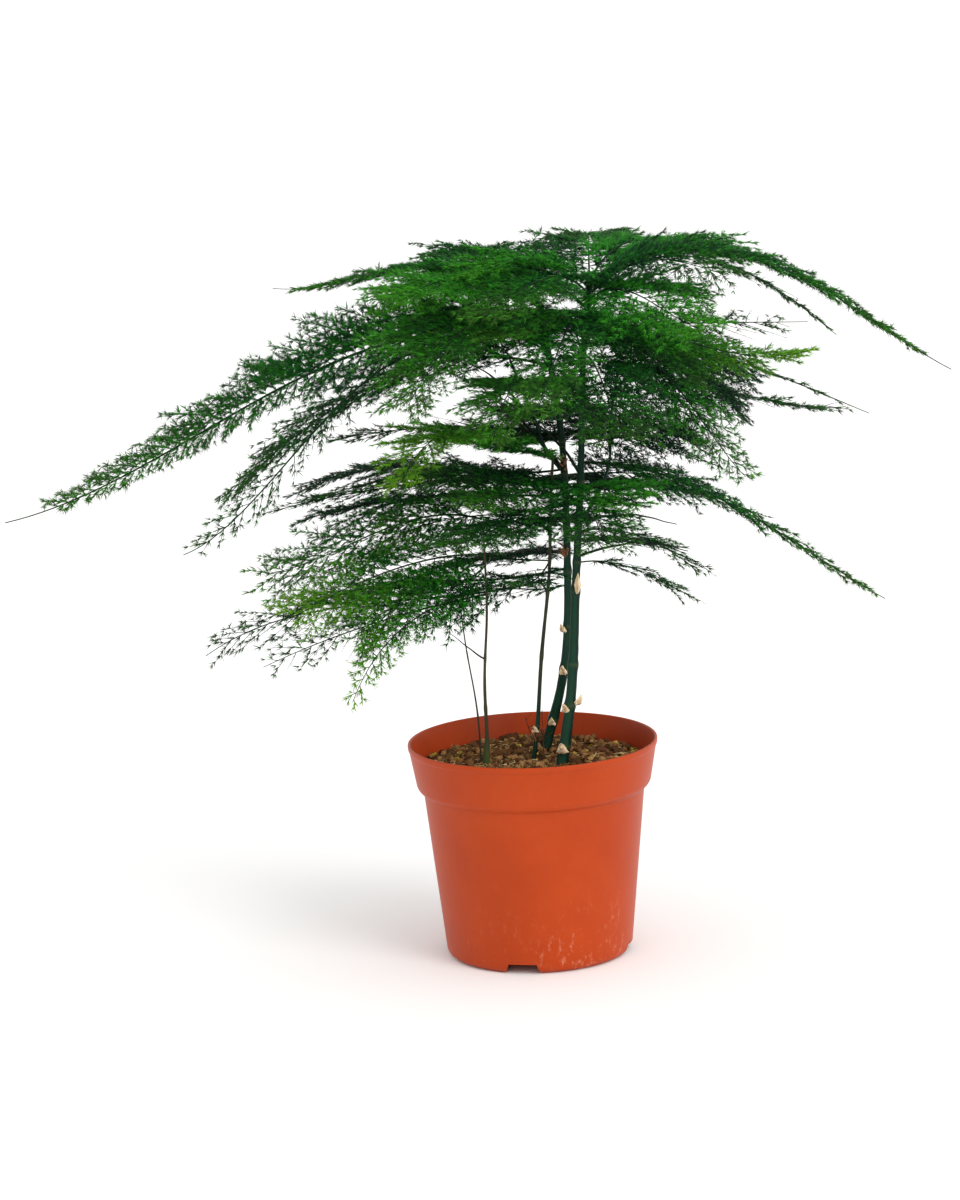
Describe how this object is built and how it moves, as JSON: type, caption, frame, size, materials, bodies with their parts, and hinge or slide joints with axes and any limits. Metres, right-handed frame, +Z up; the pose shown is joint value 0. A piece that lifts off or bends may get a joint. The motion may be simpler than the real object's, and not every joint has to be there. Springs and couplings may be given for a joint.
{
  "type": "potted lace fern",
  "caption": "Lace fern with upright canes and flat lacy fronds, growing in soil in a round tapered plastic nursery pot.",
  "frame": {"origin": "centre of the underside of the pot's foot disc, on the surface it stands on", "axes": "+Z up along the pot's axis, +X along the plant's widest spread"},
  "size_m": [0.4792, 0.2758, 0.368],
  "materials": {
    "terracotta_plastic": "satin moulded plastic, scuffed and dusty near the foot",
    "potting_soil": "loose peat with bark and moss crumbs",
    "cane_bark": "smooth dark green cane, browner on the thin stems",
    "dry_stem": "dry reddish brown twig",
    "foliage": "fine needle-like leaflets, soft sheen",
    "dry_bract": "papery cream to tan"
  },
  "bodies": {
    "root": {"pot": "terracotta_plastic", "soil": "potting_soil", "cane_a": "cane_bark", "cane_b": "cane_bark", "cane_c": "cane_bark", "wiry_stem_e": "cane_bark", "wiry_stem_f": "cane_bark", "dry_sprig_a": "dry_stem", "dry_sprig_b": "dry_stem", "branch_left": "cane_bark", "branch_right": "cane_bark", "frond_top_right_long": "foliage", "frond_top_right_low": "foliage", "frond_top_back_right": "foliage", "frond_top_back_left": "foliage", "frond_top_back": "foliage", "frond_top_left": "foliage", "frond_left_long": "foliage", "frond_left_second": "foliage", "frond_left_third": "foliage", "frond_front_left": "foliage", "frond_front_mid_left": "foliage", "frond_front_mid": "foliage", "frond_front_mid_right": "foliage", "frond_front_right": "foliage", "frond_front_top_left": "foliage", "frond_right_bright": "foliage", "frond_right_bare": "foliage", "frond_right_dark": "foliage", "frond_right_sparse": "foliage", "frond_right_back_low": "foliage", "frond_right_back_high": "foliage", "frond_mid_left_bright": "foliage", "frond_mid_left_back": "foliage", "frond_mid_left_back_low": "foliage", "frond_mid_back_right": "foliage", "frond_mid_back": "foliage", "frond_mid_front_left": "foliage", "frond_mid_front_right": "foliage", "frond_mid_right_long": "foliage", "frond_mid_right": "foliage", "frond_mid_right_back": "foliage", "frond_low_left": "foliage", "frond_low_left_front": "foliage", "frond_low_left_long": "foliage", "frond_low_hanging": "foliage", "frond_low_left_back": "foliage", "frond_low_right": "foliage", "frond_low_back_left": "foliage", "frond_low_back_right": "foliage", "frond_low_front": "foliage", "scale_leaf_1": "dry_bract", "scale_leaf_2": "dry_bract", "scale_leaf_3": "dry_bract", "scale_leaf_4": "dry_bract", "scale_leaf_5": "dry_bract", "scale_leaf_6": "dry_bract", "scale_leaf_7": "dry_bract", "sheath": "dry_bract"}
  },
  "joints": []
}
